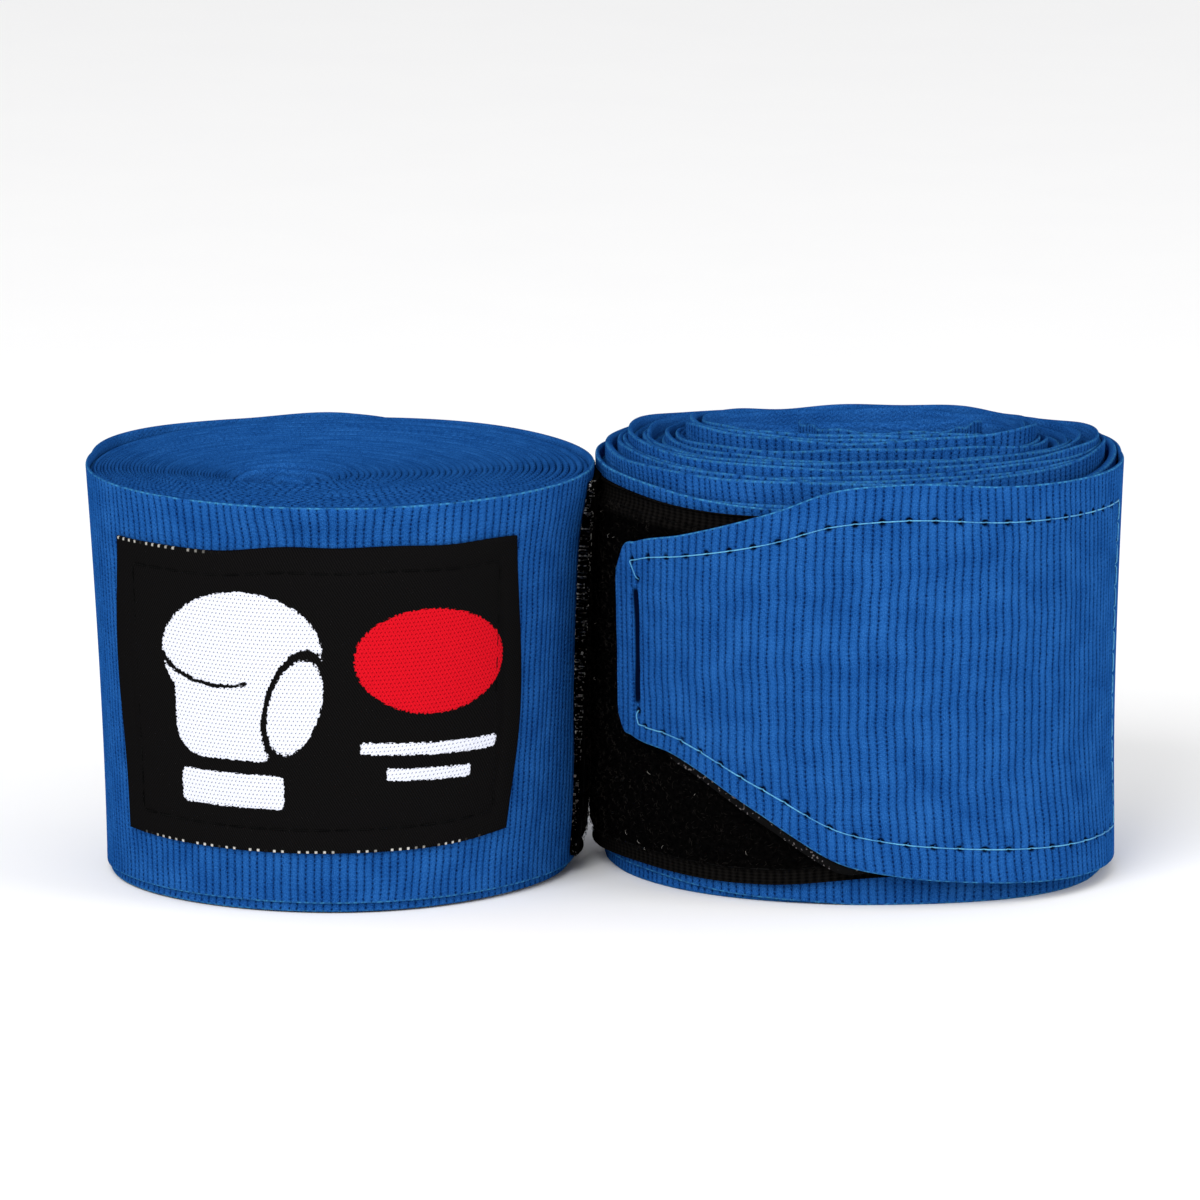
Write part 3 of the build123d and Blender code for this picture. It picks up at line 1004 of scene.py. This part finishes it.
def cloth_material():
    """Ribbed elastic weave: painted shade in the beaded grooves and on the ribs' shoulders, small chevron
    knit, fuzz and a pale selvedge thread.
    """
    s = Shader("woven_cloth", Roughness=0.95, Specular_IOR_Level=0.0)
    rib, up, side = s.numbers("weave")
    cloth = s.vector(rib * RIB, up, side * 3.0)
    wobble = s.noise(cloth, 3.0, detail=3.0)
    fuzz = s.noise(cloth, 8.0, detail=3.0, rough=0.65)
    patches = s.noise(cloth, 0.22)
    from_groove = (0.5 - (rib.fraction() - 0.5).size()) * RIB
    bead_phase = up * (1 / BEAD) + s.chance(s.vector((rib + 0.5).floor(), 0.0)) * 3.0
    bead = bead_phase.wave() * 0.5 + 0.5
    edge = from_groove + (wobble - 0.5) * 0.45
    front = side.steps(0.5, 0.2)
    # Painted shade: the grooves between the ribs, beaded along their length, and the ribs' shoulders are
    # darkened, most on the outer face.
    groove = edge.steps(0.14, 0.02) * (0.3 + 0.7 * bead) * (0.15 + 0.85 * front)
    shoulder_shade = edge.steps(0.4, 0.1) * front
    chevron = (up * (1 / BEAD) + (rib.fraction() - 0.5).size() * 1.3).wave()
    yarn = (rib * 4.0 + chevron * 0.12).wave()
    tone = (fuzz - 0.5) * 2.8 + (patches - 0.5) * 0.8 + chevron * 0.06 + yarn * 0.04 - shoulder_shade * 0.22
    # Painted shade: the strip's edge faces, seen on the rolls' tops, are toned darker.
    tone = tone + 0.58 - side.steps(0.1, 0.3) * side.steps(0.95, 0.8) * 0.12
    colour = s.mix(tone.steps(0.0, 0.62), DEEP_BLUE, MID_BLUE)
    colour = s.mix(tone.steps(0.55, 1.15), colour, PALE_BLUE)
    colour = s.mix(groove * 0.85, colour, GROOVE_SHADE_BLUE)
    stitch = (rib + wobble * 0.6).wave().steps(-0.5, 0.5)
    rim = s.number("rim") * (0.3 + 0.7 * stitch) * s.noise(cloth, 0.6).steps(0.3, 0.55)
    colour = s.mix(rim * 0.85, colour, SELVEDGE)
    # Painted shade: the needle holes, the slit and the creased core folds are darkened by their pit share.
    colour = s.mix(s.number("pit").steps(0.2, 0.8), colour, PIT_SHADE_BLUE)
    s.set(Base_Color=colour)
    s.bump(chevron * 0.022 + yarn * 0.012 + fuzz * 0.09 + wobble * 0.06 - groove * 0.10)
    return s.material


def label_material():
    """Black satin ground with white and red wefts, stepped at their edges as a loom makes them."""
    s = Shader("damask_label", Roughness=0.75, Specular_IOR_Level=0.0)
    along, up, side = s.numbers("weave")
    white_distance, red_distance, below_top = s.numbers("art")
    cell = 0.5
    across, rise = along * (1 / cell), up * (1 / cell)
    step = (s.chance(s.vector((across * 2).floor(), (rise * 2).floor())) - 0.5) * 0.22
    white = (white_distance + step).steps(0.04, -0.04)
    red = (red_distance + step).steps(0.04, -0.04)
    slanted = across + rise * 0.5
    dot_x, dot_y = (slanted.fraction() - 0.5).size(), (rise.fraction() - 0.5).size()
    dot = (dot_x + dot_y * 0.75).steps(0.24, 0.10)
    twill = (across * 1.5 - rise * 0.9).wave() * 0.5 + 0.5
    fuzz = s.noise(s.vector(along, up, side), 7.0, detail=3.0)
    ground = s.mix(twill * 0.45 + fuzz * 0.6, (0.0009, 0.0009, 0.0010), (0.0075, 0.0070, 0.0070))
    white_yarn = s.mix(dot, (0.68, 0.70, 0.78), (0.20, 0.21, 0.29))
    red_yarn = s.mix(dot * 0.75 + twill * 0.3, (0.60, 0.006, 0.014), (0.20, 0.002, 0.005))
    colour = s.mix(white, ground, white_yarn)
    colour = s.mix(red, colour, red_yarn)
    pitch = along * (1 / 1.05)
    strand = (pitch.fraction() - 0.5).size().steps(0.2, 0.1)
    strand = strand * s.chance(s.vector(pitch.floor(), 7.0)).steps(0.15, 0.5)
    low_edge = (up - 0.2).size().steps(0.24, 0.1) * along.steps(4.0, 9.0) * along.steps(52.0, 46.0)
    top_edge = (below_top - 0.2).size().steps(0.24, 0.1) * along.steps(38.0, 46.0) * 0.7
    colour = s.mix(low_edge.most(top_edge) * strand * side.steps(0.5, 0.2) * 0.85, colour, (0.62, 0.60, 0.55))
    s.set(Base_Color=colour)
    s.bump(twill * 0.05 + fuzz * 0.04 - dot * 0.06 * white.most(red))
    return s.material


def loop_material():
    """Backing of the loop panel: dark, matt, with a woven selvedge and pale specks along its cut edge."""
    s = Shader("loop_backing", Roughness=0.95, Specular_IOR_Level=0.0)
    along, up, side = s.numbers("weave")
    cloth = s.vector(along, up, side * 2.0)
    clumps = s.noise(cloth, 1.6, detail=4.0, rough=0.7)
    fine = s.noise(cloth, 12.0)
    ribs = (along * (1 / 0.9)).wave() * 0.5 + 0.5
    selvedge = up.steps(2.2, 1.4).most(up.steps(43.0, 44.0))
    woven = ribs * 0.6 + ((up * 2.4).wave() * 0.5 + 0.5) * 0.4
    tone = clumps.steps(0.35, 0.75) * 0.7 + fine * 0.3
    colour = s.mix(tone, (0.0003, 0.0003, 0.0004), (0.0030, 0.0027, 0.0026))
    colour = s.mix(selvedge * woven * 0.8, colour, (0.0090, 0.0082, 0.0075))
    from_end = s.numbers("art")[0]
    ends = s.chance(s.vector((up * 5.0).floor(), (from_end * 7.0 + side * 7.0).floor())).steps(0.80, 0.84)
    # Pale specks along the panel's cut edge.
    edge_specks = from_end.steps(1.0, 0.9) * ends * s.noise(cloth, 2.6).steps(0.42, 0.56)
    colour = s.mix(edge_specks, colour, (0.80, 0.79, 0.76))
    s.set(Base_Color=colour)
    s.bump(clumps * 0.25 + fine * 0.12 + woven * selvedge * 0.08)
    return s.material


def pile_material():
    s = Shader("loop_pile", Roughness=0.8, Specular_IOR_Level=0.02)
    lint = s.number("lint")
    shade = s.noise(s.place(), 900.0, detail=1.0)
    colour = s.mix(shade.steps(0.35, 0.7), (0.0004, 0.0004, 0.0004), (0.0170, 0.0150, 0.0135))
    s.set(Base_Color=s.mix(lint, colour, (0.22, 0.21, 0.19)))
    return s.material


def hook_material():
    """Moulded hook tape: dark plastic with a fine grain and small glints."""
    s = Shader("hook_plastic", Roughness=0.6, Specular_IOR_Level=0.02)
    place = s.place()
    grain = s.noise(place, 2500.0)
    streak = s.noise(place, 300.0)
    glint = s.noise(place, 2600.0, detail=1.0).steps(0.62, 0.70)
    colour = s.mix(grain * 0.6 + streak * 0.4, (0.0008, 0.0008, 0.0009), (0.0050, 0.0048, 0.0048))
    s.set(Base_Color=s.mix(glint, colour, (0.11, 0.10, 0.10)), Roughness=0.5 + 0.2 * grain)
    s.bump(grain * 0.05)
    return s.material


def thread_material(name, dark, light, gloss):
    """Twisted polyester thread."""
    s = Shader(name, Roughness=0.6, Specular_IOR_Level=gloss)
    place = s.place()
    ply = s.noise(place, 5200.0)
    tone = s.noise(place, 260.0, detail=1.0)
    s.set(Base_Color=s.mix((ply * 0.65 + tone * 0.55).steps(0.35, 0.8), dark, light))
    s.bump(ply * 0.05)
    return s.material


LOOKS = {
    "woven_cloth": cloth_material(),
    "label_weave": label_material(),
    "loop_tape": loop_material(),
    "loop_pile": pile_material(),
    "hook_tape": hook_material(),
    "black_thread": thread_material("black_thread", (0.0005, 0.0005, 0.0005), (0.0045, 0.0045, 0.0045), 0.01),
    "blue_thread": thread_material("blue_thread", (0.02, 0.14, 0.36), (0.11, 0.38, 0.60), 0.15),
}
LOOKS["thumb_band"] = LOOKS["woven_cloth"]


# ---- stage

def floor_material():
    s = Shader("floor_paper", Roughness=0.9, Specular_IOR_Level=0.1)
    s.set(Base_Color=s.mix(s.noise(s.place(), 40.0), (0.93, 0.93, 0.935), (0.95, 0.95, 0.95)))
    return s.material


def make_floor():
    half = 3.0
    points = np.array([(-half, -half, 0), (half, -half, 0), (half, half, 0), (-half, half, 0)])
    floor = new_mesh("floor", points, [(0, 1, 2, 3)])
    floor.data.materials.append(floor_material())


def area_light(name, place, power, size):
    """A square light that looks at the pair."""
    aim = Vector((0, 0, 0.02))
    light = bpy.data.lights.new(name, "AREA")
    light.energy = power
    light.size = size
    lamp = bpy.data.objects.new(name, light)
    lamp.location = place
    lamp.rotation_euler = (aim - Vector(place)).to_track_quat("-Z", "Y").to_euler()
    bpy.context.scene.collection.objects.link(lamp)


def make_lights():
    world = bpy.data.worlds.new("studio")
    world.use_nodes = True
    background = world.node_tree.nodes["Background"]
    background.inputs["Color"].default_value = (1.0, 1.0, 1.0, 1.0)
    background.inputs["Strength"].default_value = 0.75
    bpy.context.scene.world = world
    area_light("key", (-0.45, -0.95, 0.75), 13.0, 0.8)
    area_light("fill", (1.05, -0.45, 0.45), 5.5, 0.6)


def make_camera():
    """The view of the pair from slightly above its front."""
    distance, elevation, aim = 1.6, math.radians(11.5), Vector((-0.0010, -0.0015, 0.0332))
    camera = bpy.data.objects.new("camera", bpy.data.cameras.new("camera"))
    camera.data.lens = 385.8
    camera.data.clip_end = 20.0
    camera.location = aim + Vector((0, -math.cos(elevation), math.sin(elevation))) * distance
    camera.rotation_euler = (aim - camera.location).to_track_quat("-Z", "Y").to_euler()
    bpy.context.scene.collection.objects.link(camera)
    bpy.context.scene.camera = camera
    bpy.context.scene.view_settings.view_transform = "Standard"


# ---- everything

def make_wrap(roll):
    strip = make_strip(roll)
    make_thumb_loop(roll)
    declare_strip(strip)
    make_label(roll)
    make_loop_panel(roll)
    make_hook_panel(roll)
    make_tab_seam(roll)


def main():
    make_camera()
    make_lights()
    make_floor()
    for roll in ROLLS:
        make_wrap(roll)


main()
